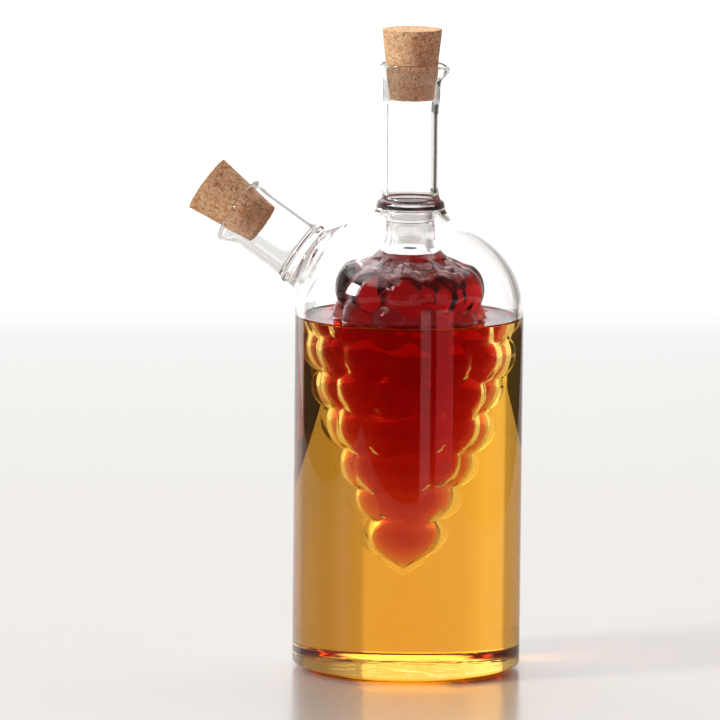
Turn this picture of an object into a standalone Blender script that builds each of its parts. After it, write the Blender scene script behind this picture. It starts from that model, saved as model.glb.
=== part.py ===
"""Dual oil and vinegar bottle.

A cylindrical glass bottle holds the oil. A second, grape-cluster shaped glass
vessel hangs inside it from the neck and holds the vinegar. The vinegar is
poured from the straight neck, the oil from the slanted spout on the shoulder.
Each mouth is closed by a tapered cork that pulls straight out.

Frame: origin at the centre of the underside, +Z up, slanted spout towards -X.
Units: metres. Helper functions take millimetres and convert once.
"""

import bmesh
import bpy
import math
import numpy as np
from mathutils import Matrix, Vector

MM = 0.001

# ---------------------------------------------------------------- dimensions
GAP = 0.3  # clearance between neighbouring solids

# outer bottle
BODY_R = 37.5  # 75 mm borosilicate tube
BODY_WALL = 2.2
BODY_TOP = 119.0  # the straight wall ends and the shoulder begins
HEEL_R = 5.0  # rounded edge between wall and underside
FOOT_R = BODY_R - HEEL_R  # flat underside radius
FLOOR_T = 2.4
DOME_H = 31.8  # height of the half-ellipse of the shoulder
DOME_OPEN_R = 15.9  # round opening in the top of the shoulder

# neck, above the shoulder
NECK_R = 9.43
NECK_BORE = 7.95
NECK_BASE = 155.9
NECK_LIP = 199.5
COLLAR_BASE = 145.6
COLLAR_TOP = 155.6

# slanted spout; s is the distance along its axis from the bottle's axis
SPOUT_TILT = math.radians(34.0)
SPOUT_FOOT_Z = 111.6  # where the spout's axis meets the bottle's axis
SPOUT_R = 10.1
SPOUT_BORE = 8.6
SPOUT_S0 = 44.8
SPOUT_S1 = 69.6
PORT_R = 12.4  # hole in the shoulder for the spout

# inner vessel
VESSEL_WALL = 1.4
STEM_R = 8.1
STEM_TOP = 155.6
TIP_Z = 32.2
FRONT = math.radians(-78.0)  # side of the bottle from which rows are counted

# one row of berries: height, outer radius, berries, turn of the first berry
# in degrees, half width and half height of a berry
ROWS = (
    (125.3, 25.0, 10, -3.5, 7.6, 8.0),
    (115.0, 25.2, 10, -15.5, 7.6, 8.2),
    (105.2, 24.4, 10, -1.0, 7.5, 8.4),
    (93.6, 22.2, 10, -13.0, 7.1, 8.7),
    (81.5, 19.6, 9, 18.0, 7.0, 8.7),
    (69.6, 16.4, 8, 2.0, 6.6, 8.5),
    (57.6, 13.0, 6, 30.0, 6.4, 8.2),
    (45.8, 10.4, 5, 66.0, 5.8, 7.4),
)
BERRY_DEPTH = 6.5  # from a berry's centre out to the front of it
CREASE = 5.0  # depth of the creases between berries
TIP_FLARE = 0.74  # sine of the half angle of the pointed tip

# contents
OIL_LEVEL = 117.0
VINEGAR_LEVEL = 137.0

# corks
CORK_BOTTOM = 187.9
CORK_LEN = 23.4
CORK_R0 = 7.55
CORK_R1 = 9.93
SIDE_CORK_S = 59.6
SIDE_CORK_LEN = 23.4
SIDE_CORK_R0 = 7.0
SIDE_CORK_R1 = 9.85
CORK_EDGE = 0.5

SEG_BODY = 48
SEG_TUBE = 32
SEG_CLUSTER = 80


# ------------------------------------------------------------------- helpers
def clear_objects():
    for ob in list(bpy.data.objects):
        bpy.data.objects.remove(ob, do_unlink=True)


def make_material(name, rgb, roughness, metallic=0.0, alpha=1.0, transmission=0.0):
    mat = bpy.data.materials.new(name)
    mat.use_nodes = True
    bsdf = mat.node_tree.nodes["Principled BSDF"]
    bsdf.inputs["Base Color"].default_value = (*rgb, 1.0)
    bsdf.inputs["Roughness"].default_value = roughness
    bsdf.inputs["Metallic"].default_value = metallic
    bsdf.inputs["Alpha"].default_value = alpha
    bsdf.inputs["Transmission Weight"].default_value = transmission
    mat.diffuse_color = (*rgb, alpha)
    return mat


def skin(name, rings, mat, closed, matrix=None):
    """Lofts rings of points (mm) into one closed body.

    A ring is a list of points, or a single point for a pole. With closed set,
    the last ring joins the first one, as on a turned hollow piece.
    """
    bm = bmesh.new()
    loops = [[bm.verts.new(Vector(p) * MM) for p in ring] for ring in rings]
    pairs = list(zip(loops, loops[1:]))
    if closed:
        pairs.append((loops[-1], loops[0]))
    for a, b in pairs:
        n = max(len(a), len(b))
        for i in range(n):
            j = (i + 1) % n
            if len(a) == 1:
                bm.faces.new((a[0], b[j], b[i]))
            elif len(b) == 1:
                bm.faces.new((a[i], a[j], b[0]))
            else:
                bm.faces.new((a[i], a[j], b[j], b[i]))
    if not closed:
        for end in (loops[0], loops[-1]):
            if len(end) > 1:
                bm.faces.new(end)
    bmesh.ops.recalc_face_normals(bm, faces=bm.faces)
    mesh = bpy.data.meshes.new(name)
    bm.to_mesh(mesh)
    bm.free()
    mesh.shade_smooth()
    mesh.set_sharp_from_angle(angle=math.radians(35))
    ob = bpy.data.objects.new(name, mesh)
    bpy.context.scene.collection.objects.link(ob)
    if matrix is not None:
        ob.matrix_world = matrix
    ob.data.materials.append(mat)
    return ob


def turned_rings(profile, segments, pull=None):
    """Rings of a turned profile of (radius, height) points, in mm.

    pull(angle, radius, height) may move a point outwards and down, which
    draws a pouring beak out of a round lip.
    """
    rings = []
    for r, z in profile:
        if r <= 1e-9:
            rings.append([(0.0, 0.0, z)])
            continue
        ring = []
        for i in range(segments):
            a = 2 * math.pi * i / segments
            rr, zz = (r, z) if pull is None else pull(a, r, z)
            ring.append((rr * math.cos(a), rr * math.sin(a), zz))
        rings.append(ring)
    return rings


def arc(cr, cz, radius, a0, a1, steps):
    """Points of a circular arc in the (radius, height) plane, in degrees."""
    return [
        (
            cr + radius * math.cos(math.radians(a0 + (a1 - a0) * i / steps)),
            cz + radius * math.sin(math.radians(a0 + (a1 - a0) * i / steps)),
        )
        for i in range(steps + 1)
    ]


def smooth(x, lo, hi):
    t = min(1.0, max(0.0, (x - lo) / (hi - lo)))
    return t * t * (3 - 2 * t)


def spout_matrix():
    """Places a piece turned about +Z, in mm along s, on the spout's axis."""
    axis = Vector((-math.cos(SPOUT_TILT), 0.0, math.sin(SPOUT_TILT)))
    up = Vector((math.sin(SPOUT_TILT), 0.0, math.cos(SPOUT_TILT)))
    side = axis.cross(up)
    m = Matrix((up, side, axis)).transposed().to_4x4()
    m.translation = Vector((0.0, 0.0, SPOUT_FOOT_Z * MM))
    return m


# ------------------------------------------------------- the berry cluster
def row_at(z):
    """Outer radius of the cluster at height z, linear between the rows."""
    pts = sorted((row[0], row[1]) for row in ROWS)
    return float(np.interp(z, [p[0] for p in pts], [p[1] for p in pts]))


def berries(shrink):
    """Angle, distance from the axis and height of each berry's centre, and its
    three half axes (outwards, sideways, upwards) less the given shrink."""
    out = []
    for z, outer, count, turn, wide, high in ROWS:
        depth = min(BERRY_DEPTH, 0.62 * outer)
        for i in range(count):
            a = FRONT + math.radians(turn) + 2 * math.pi * i / count
            out.append((a, outer - depth, z, depth - shrink, wide - shrink, high - shrink))
    return np.array(out)


def core_discs(shrink):
    """Discs in the (radius, height) plane that fill the cluster's core."""
    discs = [(14.4, 126.3, 6.7)]
    z = ROWS[0][0]
    while z > ROWS[-1][0]:
        r = row_at(z) - CREASE
        a = min(5.0, r)
        discs.append((r - a, z, a))
        z -= 1.0
    last = TIP_Z + (ROWS[-1][1] - CREASE) / TIP_FLARE
    for i in range(24):  # the pointed tip
        z = last + (TIP_Z + 0.4 - last) * i / 23
        discs.append((0.0, z, (z - TIP_Z) * TIP_FLARE))
    return np.array([(c, z, a - shrink) for c, z, a in discs if a - shrink > 0.25])


def cluster_reach(z0, elevation, angles, shrink, sharp=3.0):
    """Distance from the axis point at z0 to the cluster's surface.

    elevation is the ray's angle above the horizontal, angles are the turns
    about the axis. Berries and core blend with a small fillet.
    """
    ce, se = math.cos(elevation), math.sin(elevation)
    turn, far, zb, deep, wide, high = berries(shrink).T
    off = angles[:, None] - turn[None, :]
    out, side = ce * np.cos(off), ce * np.sin(off)
    qa = (out / deep) ** 2 + (side / wide) ** 2 + (se / high) ** 2
    qb = -far * out / deep**2 + (z0 - zb) * se / high**2
    qc = (far / deep) ** 2 + ((z0 - zb) / high) ** 2 - 1
    disc = qb**2 - qa * qc
    hits = np.where(disc > 0, (-qb + np.sqrt(np.maximum(disc, 0))) / qa, -1e3)
    c = core_discs(shrink)
    al = c[:, 0] * ce + (c[:, 1] - z0) * se
    dd = c[:, 2] ** 2 - (c[:, 0] ** 2 + (c[:, 1] - z0) ** 2) + al**2
    core = np.where(dd > 0, al + np.sqrt(np.maximum(dd, 0)), -1e3).max()
    every = np.concatenate([hits, np.full((len(angles), 1), core)], 1)
    top = every.max(1, keepdims=True)
    return (top + np.log(np.exp(sharp * (every - top)).sum(1, keepdims=True)) / sharp)[:, 0]


def cluster_rings(shrink, segments, step):
    """Rings of the cluster from its shoulder down to its tip."""
    angles = 2 * np.pi * np.arange(segments) / segments
    top, bottom = ROWS[0][0], ROWS[-1][0]
    rim = 26.2 - 2.3 * shrink
    rays = [(top, math.radians(rim * k)) for k in (1.0, 0.84, 0.65, 0.44, 0.21)]
    n = max(2, round((top - bottom) / step))
    rays += [(top - (top - bottom) * i / n, 0.0) for i in range(n + 1)]
    rays += [(bottom, math.radians(-e)) for e in (16.0, 32.0, 48.0, 64.0, 78.0)]
    rings = []
    for z0, e in rays:
        t = cluster_reach(z0, e, angles, shrink)
        rings.append(
            [
                (
                    float(t[i] * math.cos(e) * math.cos(angles[i])),
                    float(t[i] * math.cos(e) * math.sin(angles[i])),
                    float(z0 + t[i] * math.sin(e)),
                )
                for i in range(segments)
            ]
        )
    pole = float(cluster_reach(bottom, math.radians(-90.0), angles[:1], shrink)[0])
    rings.append([(0.0, 0.0, bottom - pole)])
    return rings


# --------------------------------------------------------------- the pieces
def body_tube(mat):
    outer = [(BODY_R, BODY_TOP), (BODY_R, 60.0)]
    outer += arc(FOOT_R, HEEL_R, HEEL_R, 0, -90, 5)
    inner = [
        (FOOT_R, FLOOR_T),
        (34.2, 3.7),
        (35.05, 5.4),
        (BODY_R - BODY_WALL, 7.6),
        (BODY_R - BODY_WALL, 60.0),
        (BODY_R - BODY_WALL, BODY_TOP),
    ]
    return skin("body_tube", turned_rings(outer + inner, SEG_BODY), mat, True)


def base_disc(mat):
    r = FOOT_R - GAP
    return skin("base_disc", turned_rings([(r, 0.0), (r, FLOOR_T)], SEG_BODY), mat, False)


def bottle_shoulder(mat):
    z0 = BODY_TOP
    inner_r, inner_h = BODY_R - BODY_WALL, DOME_H - 2.1

    def dome(a, h, steps, lo, open_r):
        top = math.acos(open_r / a)
        pts = [(a, z0 + lo)]
        for i in range(1, steps + 1):
            t = top * i / steps
            pts.append((a * math.cos(t), z0 + h * math.sin(t)))
        return pts

    profile = dome(BODY_R, DOME_H, 10, GAP, DOME_OPEN_R)
    profile += reversed(dome(inner_r, inner_h, 8, GAP, DOME_OPEN_R))
    shoulder = skin("bottle_shoulder", turned_rings(profile, SEG_BODY), mat, True)
    cutter = skin(
        "spout_port_cutter",
        turned_rings([(PORT_R, 20.0), (PORT_R, 60.0)], 40),
        mat,
        False,
        spout_matrix(),
    )
    cutter.hide_render = True
    cutter.display_type = "WIRE"
    cut = shoulder.modifiers.new("spout_port", "BOOLEAN")
    cut.operation = "DIFFERENCE"
    cut.solver = "EXACT"
    cut.object = cutter
    return shoulder


def neck_weld_collar(mat):
    edge = DOME_OPEN_R - GAP
    profile = [
        (edge, 147.9),
        (14.0, 149.0),
        (12.5, 150.4),
        (11.7, 151.4),
        (11.3, 152.4),
        (11.15, 153.7),
        (10.75, 154.8),
        (10.2, COLLAR_TOP),
        (STEM_R + GAP, COLLAR_TOP),
        (STEM_R + GAP, 148.6),
        (9.6, 147.0),
        (12.2, 146.1),
        (edge, COLLAR_BASE),
    ]
    return skin("neck_weld_collar", turned_rings(profile, 40), mat, True)


def neck_tube(mat):
    lip = NECK_LIP

    def pull(a, r, z):
        a = (a + math.pi) % (2 * math.pi) - math.pi
        w = math.exp(-((a / math.radians(24.0)) ** 2)) * smooth(z, lip - 6.5, lip - 1.2)
        return r + 2.0 * w, z - 1.0 * w

    outer = [
        (NECK_R, NECK_BASE),
        (NECK_R, 189.0),
        (9.55, 193.5),
        (9.85, 196.6),
        (10.35, 198.1),
        (10.4, 198.9),
        (10.1, lip),
    ]
    inner = [
        (9.4, lip),
        (9.08, 199.0),
        (8.85, 197.4),
        (8.55, 194.4),
        (8.15, 190.5),
        (NECK_BORE, 187.4),
        (NECK_BORE, NECK_BASE),
    ]
    return skin("neck_tube", turned_rings(outer + inner, SEG_TUBE, pull), mat, True)


def spout_weld_ring(mat):
    edge = PORT_R - GAP
    profile = [
        (edge, 34.9),
        (edge, 37.2),
        (11.6, 38.6),
        (10.9, 40.4),
        (10.6, 42.0),
        (11.1, 43.0),
        (11.1, 43.9),
        (10.5, SPOUT_S0 - GAP),
        (SPOUT_BORE, SPOUT_S0 - GAP),
        (SPOUT_BORE, 38.4),
        (9.4, 36.3),
        (10.8, 35.2),
    ]
    return skin("spout_weld_ring", turned_rings(profile, 40), mat, True, spout_matrix())


def spout_tube(mat):
    lip = SPOUT_S1

    def pull(a, r, s):
        # the beak hangs on the lower side of the lip
        a = abs(a - math.pi)
        w = math.exp(-((a / math.radians(26.0)) ** 2)) * smooth(s, lip - 7.0, lip - 1.0)
        return r + 1.7 * w, s - 0.6 * w

    outer = [
        (SPOUT_R, SPOUT_S0),
        (SPOUT_R, 61.0),
        (10.15, 65.0),
        (10.4, 67.6),
        (10.7, 68.6),
        (10.6, 69.3),
        (10.2, lip),
    ]
    inner = [
        (9.3, lip),
        (9.0, 68.8),
        (8.8, 67.0),
        (SPOUT_BORE, 62.0),
        (SPOUT_BORE, SPOUT_S0),
    ]
    rings = turned_rings(outer + inner, SEG_TUBE, pull)
    return skin("side_spout_tube", rings, mat, True, spout_matrix())


STEM_PROFILE = (
    (STEM_R, STEM_TOP),
    (7.95, 151.5),
    (8.0, 147.5),
    (8.1, 144.5),
    (8.4, 141.6),
    (9.25, 139.4),
    (10.3, 137.7),
    (11.3, 136.0),
    (12.35, 134.6),
    (13.7, 133.55),
    (15.27, 132.95),
)


def offset_profile(profile, distance):
    """The same profile moved towards the axis along its own normals."""
    out = []
    for i, (r, z) in enumerate(profile):
        r0, z0 = profile[max(0, i - 1)]
        r1, z1 = profile[min(len(profile) - 1, i + 1)]
        length = math.hypot(r1 - r0, z1 - z0)
        out.append((r + (z1 - z0) / length * distance, z - (r1 - r0) / length * distance))
    return out


def vessel_stem(mat):
    inner = offset_profile(STEM_PROFILE, VESSEL_WALL)
    inner[0] = (STEM_R - VESSEL_WALL, STEM_TOP)
    profile = list(STEM_PROFILE) + inner[::-1]
    return skin("vessel_stem", turned_rings(profile, SEG_TUBE), mat, True)


def grape_vessel(mat):
    outer = cluster_rings(0.0, SEG_CLUSTER, 2.6)
    inner = cluster_rings(VESSEL_WALL, SEG_CLUSTER, 5.2)
    # outside from shoulder to tip, then inside from shoulder to tip; the two
    # skins are joined at the open rim, so the vessel is one closed body
    rings = outer[::-1] + inner
    return skin("grape_vessel", rings, mat, False)


def vinegar_fill(mat):
    stem = offset_profile(STEM_PROFILE, VESSEL_WALL + 0.35)
    level = [
        (float(np.interp(VINEGAR_LEVEL, [p[1] for p in stem[::-1]], [p[0] for p in stem[::-1]])), VINEGAR_LEVEL)
    ]
    neck = [p for p in stem if p[1] < VINEGAR_LEVEL - 0.6]
    shrink = VESSEL_WALL + 0.45
    body = []
    top, bottom = ROWS[0][0], ROWS[-1][0]
    discs = core_discs(shrink)
    rays = [(top, 20.0), (top, 10.0)]
    rays += [(top - (top - bottom) * i / 9, 0.0) for i in range(10)]
    rays += [(bottom, -25.0), (bottom, -50.0), (bottom, -72.0), (bottom, -90.0)]
    for z0, deg in rays:
        e = math.radians(deg)
        al = discs[:, 0] * math.cos(e) + (discs[:, 1] - z0) * math.sin(e)
        dd = discs[:, 2] ** 2 - discs[:, 0] ** 2 - (discs[:, 1] - z0) ** 2 + al**2
        t = float((al + np.sqrt(np.maximum(dd, 0)))[dd > 0].max())
        body.append((0.0 if deg == -90.0 else t * math.cos(e), z0 + t * math.sin(e)))
    profile = [(0.0, VINEGAR_LEVEL)] + level + neck + body
    return skin("vinegar_fill", turned_rings(profile, 24), mat, False)


def oil_fill(mat):
    r = BODY_R - BODY_WALL - GAP
    margin = 0.8
    inside = [(row_at(z) + margin, z) for z, *_ in ROWS[1:]]
    profile = [(0.0, FLOOR_T + GAP), (32.2, FLOOR_T + GAP), (33.7, 3.9), (34.65, 5.6), (r, 7.8)]
    profile += [(r, 60.0), (r, OIL_LEVEL), (ROWS[1][1] + margin, OIL_LEVEL)]
    profile += inside
    profile += [(9.6, 40.6), (7.0, 37.6), (3.5, 34.0), (0.0, TIP_Z - 1.2)]
    return skin("oil_fill", turned_rings(profile, SEG_BODY), mat, False)


def cork(name, r0, r1, length, mat):
    """A tapered cork, small end down, standing on its own origin."""

    def r_at(z):
        return r0 + (r1 - r0) * z / length

    profile = [
        (0.0, 0.0),
        (r0 - CORK_EDGE, 0.0),
        (r_at(CORK_EDGE), CORK_EDGE),
        (r_at(length / 2), length / 2),
        (r_at(length - CORK_EDGE), length - CORK_EDGE),
        (r1 - CORK_EDGE, length),
        (0.0, length),
    ]
    return skin(name, turned_rings(profile, SEG_TUBE), mat, False)


def pull_empty(name, matrix):
    """An empty whose local Z is the line along which a cork pulls out."""
    empty = bpy.data.objects.new(name, None)
    empty.empty_display_type = "SINGLE_ARROW"
    empty.empty_display_size = 0.02
    bpy.context.scene.collection.objects.link(empty)
    empty.matrix_world = matrix
    return empty


def main():
    clear_objects()
    glass = make_material("glass", (0.90, 0.94, 0.93), 0.02, alpha=0.35, transmission=1.0)
    weld = make_material("fused_glass", (0.80, 0.86, 0.86), 0.04, alpha=0.45, transmission=1.0)
    vessel = make_material("vessel_glass", (0.93, 0.90, 0.90), 0.03, alpha=0.35, transmission=1.0)
    oil = make_material("oil", (0.86, 0.55, 0.08), 0.02, alpha=0.6, transmission=1.0)
    vinegar = make_material("vinegar", (0.45, 0.02, 0.03), 0.02, alpha=0.8, transmission=1.0)
    cork_mat = make_material("cork", (0.66, 0.42, 0.26), 0.85)

    body_tube(glass)
    base_disc(glass)
    bottle_shoulder(glass)
    neck_weld_collar(weld)
    neck_tube(glass)
    spout_weld_ring(weld)
    spout_tube(glass)
    vessel_stem(vessel)
    grape_vessel(vessel)
    oil_fill(oil)
    vinegar_fill(vinegar)

    up = Matrix.Translation(Vector((0.0, 0.0, CORK_BOTTOM * MM)))
    top_axis = pull_empty("top_cork_axis", up)
    top = cork("top_cork", CORK_R0, CORK_R1, CORK_LEN, cork_mat)
    top.parent = top_axis

    along = spout_matrix() @ Matrix.Translation(Vector((0.0, 0.0, SIDE_CORK_S * MM)))
    side_axis = pull_empty("side_cork_axis", along)
    side = cork("side_cork", SIDE_CORK_R0, SIDE_CORK_R1, SIDE_CORK_LEN, cork_mat)
    side.parent = side_axis
    bpy.context.view_layer.update()


main()
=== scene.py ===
"""Looks of the dual oil and vinegar bottle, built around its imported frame.

Lengths in the helpers are millimetres; meshes are made in metres.
Image size: 720 x 720.
"""

import math

import bpy
import numpy as np
from mathutils import Matrix

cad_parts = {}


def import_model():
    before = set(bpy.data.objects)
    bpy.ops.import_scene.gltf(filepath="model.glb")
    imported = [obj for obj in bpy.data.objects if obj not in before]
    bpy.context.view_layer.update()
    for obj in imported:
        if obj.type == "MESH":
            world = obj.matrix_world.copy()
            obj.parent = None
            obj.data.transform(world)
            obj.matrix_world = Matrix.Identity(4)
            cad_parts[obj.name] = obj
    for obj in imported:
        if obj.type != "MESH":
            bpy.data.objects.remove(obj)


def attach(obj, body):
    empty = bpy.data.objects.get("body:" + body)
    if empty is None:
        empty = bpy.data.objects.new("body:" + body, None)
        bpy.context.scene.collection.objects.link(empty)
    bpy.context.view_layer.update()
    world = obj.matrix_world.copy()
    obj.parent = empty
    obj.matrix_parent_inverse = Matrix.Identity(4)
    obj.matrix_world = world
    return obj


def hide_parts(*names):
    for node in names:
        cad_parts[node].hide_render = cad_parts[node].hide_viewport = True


MM = 0.001
AZ = math.radians(12.0)  # the camera stands this far round from square-on
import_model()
scene = bpy.context.scene

# ---------------------------------------------------------------- dimensions
BODY_R, WALL = 37.5, 2.2
INNER_R = BODY_R - WALL
DOME_Z = 119.0
DOME_A, DOME_B = BODY_R, 31.8
DOME_AI, DOME_BI = INNER_R, 29.7
SPLIT_Z = 147.0  # where the inner vessel's stem begins, inside the fused glass

SPOUT_Z = 111.6
TILT = math.radians(34.0)
AX = np.array([-math.cos(TILT), 0.0, math.sin(TILT)])
UP = np.array([math.sin(TILT), 0.0, math.cos(TILT)])
SIDE = np.array([0.0, 1.0, 0.0])
SPOUT_O = np.array([0.0, 0.0, SPOUT_Z])

FRONT = -78.0  # the side of the cluster that faces the camera, degrees
TURN = math.radians(FRONT)
# height, outer radius at the crests, radius of the vinegar there, berries,
# turn of the first berry from the front, a berry's half width and half height
ROWS = (
    (125.3, 25.0, 23.6, 10, -3.5, 7.6, 8.4),
    (115.0, 25.2, 23.8, 10, -15.5, 7.6, 8.2),
    (105.2, 24.4, 23.1, 10, -1.0, 7.5, 8.4),
    (93.6, 22.2, 20.9, 10, -13.0, 7.1, 8.7),
    (81.5, 19.6, 18.2, 9, 18.0, 7.0, 8.7),
    (69.6, 16.4, 14.8, 8, 2.0, 6.6, 8.5),
    (57.6, 13.0, 10.8, 6, 30.0, 6.4, 8.2),
    (46.2, 10.5, 8.2, 5, 66.0, 5.8, 6.6),
)
CREASE, CREASE_IN = 5.0, 3.3
TIP_Z, TIP_IN = 32.2, 34.4
LEAN = 0.035  # the rows stand a little higher on the spout's side
DRIFT = -0.9  # how far the tip hangs to that side

OIL_LINE = 117.0  # where the oil meets the wall
OIL_FLAT = 115.9
OIL_LINE_VESSEL = 116.5
VIN_LINE = 137.0
VIN_FLAT = 136.3
SKIN = 0.02  # distance between a liquid's mesh and the glass that holds it

GLASS_IOR, VESSEL_IOR, VIN_IOR, OIL_IOR = 1.474, 1.490, 1.342, 1.468

HEEL_R = 1.1  # tight corner at the foot of the wall
HEEL_C = BODY_R - HEEL_R
HEEL_Z = 2.72  # height at which the wall turns in
FOOT_R = 30.6  # the flat underside ends here and slopes up to the corner
FLOOR = 1.5  # thickness of the bottom
RIPPLE = 0.09  # unevenness of the underside

BODY_SEG = 256


# ----------------------------------------------------------------- materials
def new_material(name):
    mat = bpy.data.materials.new(name)
    mat.use_nodes = True
    mat.node_tree.nodes.clear()
    out = mat.node_tree.nodes.new("ShaderNodeOutputMaterial")
    return mat, mat.node_tree, out


def clear_material(name, ior, colour=(1, 1, 1), absorb=None, density=0.0, roughness=0.0):
    mat, nt, out = new_material(name)
    p = nt.nodes.new("ShaderNodeBsdfPrincipled")
    p.inputs["Base Color"].default_value = (*colour, 1)
    p.inputs["Roughness"].default_value = roughness
    p.inputs["IOR"].default_value = ior
    p.inputs["Transmission Weight"].default_value = 1.0
    nt.links.new(p.outputs[0], out.inputs["Surface"])
    if absorb is not None:
        v = nt.nodes.new("ShaderNodeVolumeAbsorption")
        v.inputs["Color"].default_value = (*absorb, 1)
        v.inputs["Density"].default_value = density
        nt.links.new(v.outputs[0], out.inputs["Volume"])
    return mat


def dark_material(name, colour):
    mat, nt, out = new_material(name)
    p = nt.nodes.new("ShaderNodeBsdfPrincipled")
    p.inputs["Base Color"].default_value = (*colour, 1)
    p.inputs["Roughness"].default_value = 0.5
    nt.links.new(p.outputs[0], out.inputs["Surface"])
    return mat


OIL_ABSORB, OIL_DENSITY = (0.991, 0.752, 0.0), 50.0
VIN_ABSORB, VIN_DENSITY = (0.79, 0.0, 0.04), 172.0

glass = clear_material("glass", GLASS_IOR)
oil_wet = clear_material("glass_in_oil", 1.0045)
vessel_glass = clear_material("vessel_glass", VESSEL_IOR)
vessel_in_oil = clear_material("vessel_in_oil", VESSEL_IOR / OIL_IOR)
vin_wet = clear_material("vessel_in_vinegar", VESSEL_IOR / VIN_IOR)
fused = clear_material("glass_fused", 1.0)
# painted shade: near-black glass for the dark ring at the crotch's tip round the stem, standing in for the shadow that
# total internal reflection makes there
painted_shade_ring = dark_material("painted_shade_ring", (0.03, 0.02, 0.022))
oil_top = clear_material("oil_surface", OIL_IOR, absorb=OIL_ABSORB, density=OIL_DENSITY)
oil_side = clear_material("oil", 1.0, absorb=OIL_ABSORB, density=OIL_DENSITY)
vin_top = clear_material("vinegar_surface", VIN_IOR, absorb=VIN_ABSORB, density=VIN_DENSITY)
vin_side = clear_material("vinegar", 1.0, absorb=VIN_ABSORB, density=VIN_DENSITY)


# -------------------------------------------------------------- mesh helpers
class Skin:
    """Collects rings of points and the quads between them."""

    def __init__(self):
        self.points, self.count = [], 0
        self.quads, self.quad_mat = [], []
        self.tris, self.tri_mat = [], []

    def add(self, pts):
        pts = np.asarray(pts, float).reshape(-1, 3)
        ids = np.arange(self.count, self.count + len(pts))
        self.points.append(pts)
        self.count += len(pts)
        return ids

    def band(self, a, b, mat, loop=True):
        if loop:
            a2, b2 = np.roll(a, -1), np.roll(b, -1)
        else:
            a, a2, b, b2 = a[:-1], a[1:], b[:-1], b[1:]
        self.quads.append(np.stack([a, a2, b2, b], 1))
        self.quad_mat.append(np.full(len(a), mat))

    def fan(self, a, pole, mat):
        a2 = np.roll(a, -1)
        self.tris.append(np.stack([a, a2, np.full(len(a), pole)], 1))
        self.tri_mat.append(np.full(len(a), mat))

    def build(self, name, materials, sharp=None):
        pts = np.concatenate(self.points) * MM
        quads = np.concatenate(self.quads) if self.quads else np.zeros((0, 4), int)
        tris = np.concatenate(self.tris) if self.tris else np.zeros((0, 3), int)
        mats = np.concatenate(self.quad_mat + self.tri_mat)
        mesh = bpy.data.meshes.new(name)
        mesh.vertices.add(len(pts))
        mesh.vertices.foreach_set("co", pts.ravel())
        nl = quads.size + tris.size
        mesh.loops.add(nl)
        mesh.loops.foreach_set("vertex_index", np.concatenate([quads.ravel(), tris.ravel()]).astype(np.int32))
        starts = np.concatenate([np.arange(len(quads)) * 4, quads.size + np.arange(len(tris)) * 3])
        mesh.polygons.add(len(starts))
        mesh.polygons.foreach_set("loop_start", starts.astype(np.int32))
        mesh.polygons.foreach_set("material_index", mats.astype(np.int32))
        mesh.update(calc_edges=True)
        mesh.validate()
        import bmesh

        bm = bmesh.new()
        bm.from_mesh(mesh)
        bmesh.ops.recalc_face_normals(bm, faces=bm.faces)
        if bm.calc_volume(signed=True) < 0:
            bmesh.ops.reverse_faces(bm, faces=bm.faces)
        bm.to_mesh(mesh)
        bm.free()
        mesh.shade_smooth()
        if sharp is not None:
            mesh.set_sharp_from_angle(angle=math.radians(sharp))
        ob = bpy.data.objects.new(name, mesh)
        scene.collection.objects.link(ob)
        for m in materials:
            mesh.materials.append(m)
        return ob


def line(p, q, n):
    t = np.linspace(0, 1, n + 1)[:, None]
    return np.array(p) * (1 - t) + np.array(q) * t


def arc(cr, cz, radius, a0, a1, n):
    a = np.radians(np.linspace(a0, a1, n + 1))
    return np.stack([cr + radius * np.cos(a), cz + radius * np.sin(a)], 1)


def ellipse(a, b, cz, a0, a1, n):
    t = np.radians(np.linspace(a0, a1, n + 1))
    return np.stack([a * np.cos(t), cz + b * np.sin(t)], 1)


def spline(points, per):
    """Centripetal Catmull-Rom through the points, per steps a span."""
    p = np.array(points, float)
    p = np.concatenate([[2 * p[0] - p[1]], p, [2 * p[-1] - p[-2]]])
    out = []
    for i in range(1, len(p) - 2):
        p0, p1, p2, p3 = p[i - 1], p[i], p[i + 1], p[i + 2]
        t0 = 0.0
        t1 = t0 + np.linalg.norm(p1 - p0) ** 0.5
        t2 = t1 + np.linalg.norm(p2 - p1) ** 0.5
        t3 = t2 + np.linalg.norm(p3 - p2) ** 0.5
        for t in np.linspace(t1, t2, per, endpoint=False):
            a1 = (t1 - t) / (t1 - t0) * p0 + (t - t0) / (t1 - t0) * p1
            a2 = (t2 - t) / (t2 - t1) * p1 + (t - t1) / (t2 - t1) * p2
            a3 = (t3 - t) / (t3 - t2) * p2 + (t - t2) / (t3 - t2) * p3
            b1 = (t2 - t) / (t2 - t0) * a1 + (t - t0) / (t2 - t0) * a2
            b2 = (t3 - t) / (t3 - t1) * a2 + (t - t1) / (t3 - t1) * a3
            out.append((t2 - t) / (t2 - t1) * b1 + (t - t1) / (t2 - t1) * b2)
    out.append(p[-2])
    return np.array(out)


def chain(*parts):
    """One profile from several, with repeated joints dropped."""
    out = [np.asarray(parts[0], float)]
    for q in parts[1:]:
        q = np.asarray(q, float)
        if np.linalg.norm(q[0] - out[-1][-1]) < 1e-6:
            q = q[1:]
        out.append(q)
    return np.concatenate(out)


def smoothstep(x, lo, hi):
    t = np.clip((x - lo) / (hi - lo), 0, 1)
    return t * t * (3 - 2 * t)


def revolve_ring(r, z, seg, pull=None):
    th = 2 * np.pi * np.arange(seg) / seg
    rr, zz = np.full(seg, float(r)), np.full(seg, float(z))
    if pull is not None:
        rr, zz = pull(th, rr, zz)
    return np.stack([rr * np.cos(th), rr * np.sin(th), zz], 1)


# --------------------------------------------------------------- outer glass
def spout_polar(p):
    """(radius, angle, distance along) of points in the spout's own frame."""
    d = p - SPOUT_O
    u, w, s = d @ UP, d @ SIDE, d @ AX
    return np.hypot(u, w), np.arctan2(w, u), s


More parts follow.
